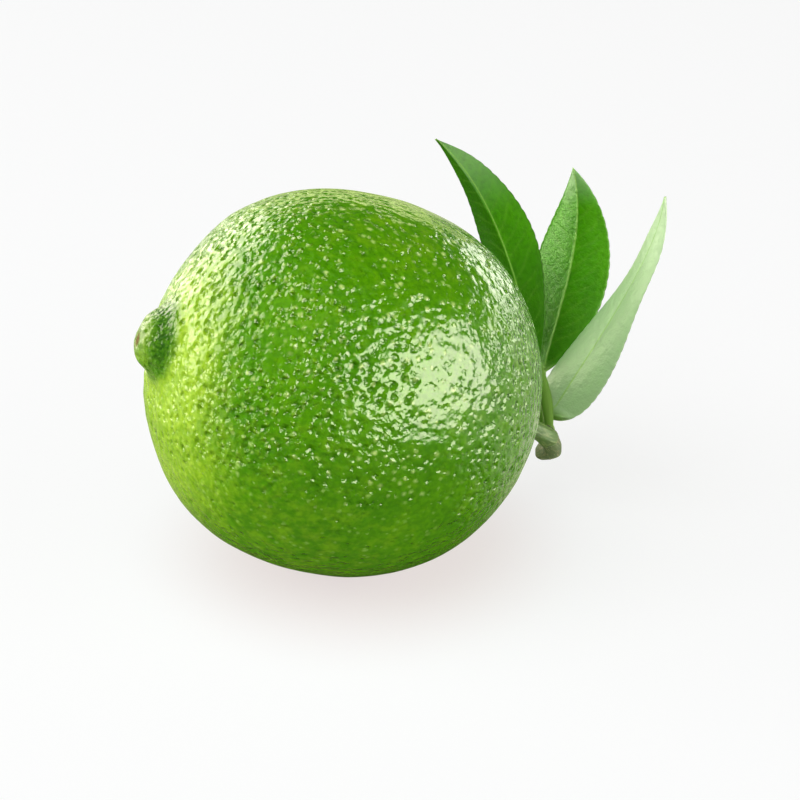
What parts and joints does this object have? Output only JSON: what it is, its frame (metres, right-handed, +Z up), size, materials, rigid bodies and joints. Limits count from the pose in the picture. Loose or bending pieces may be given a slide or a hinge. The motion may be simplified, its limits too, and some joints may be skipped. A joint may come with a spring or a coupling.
{
  "type": "lime with leaves",
  "caption": "Whole green lime resting on its side, with a blunt nipple at one end and its calyx, stalk and leafy twig at the other.",
  "frame": {"origin": "middle of the small flat spot that the fruit rests on", "axes": "+Z up. The nipple points mostly along -X, turned 18 degrees towards -Y and raised 21 degrees. The twig and leaves are on the +X +Y side."},
  "size_m": [0.0766, 0.0641, 0.0556],
  "materials": {
    "lime_skin": "satin",
    "calyx_green": "matte",
    "stalk_green": "matte",
    "twig_bark": "matte",
    "leaf_green": "satin"
  },
  "bodies": {
    "root": {"fruit": "lime_skin", "calyx": "calyx_green", "fruit_stalk": "stalk_green", "twig": "twig_bark", "leaf_left": "leaf_green", "leaf_middle": "leaf_green", "leaf_right": "leaf_green"}
  },
  "joints": []
}
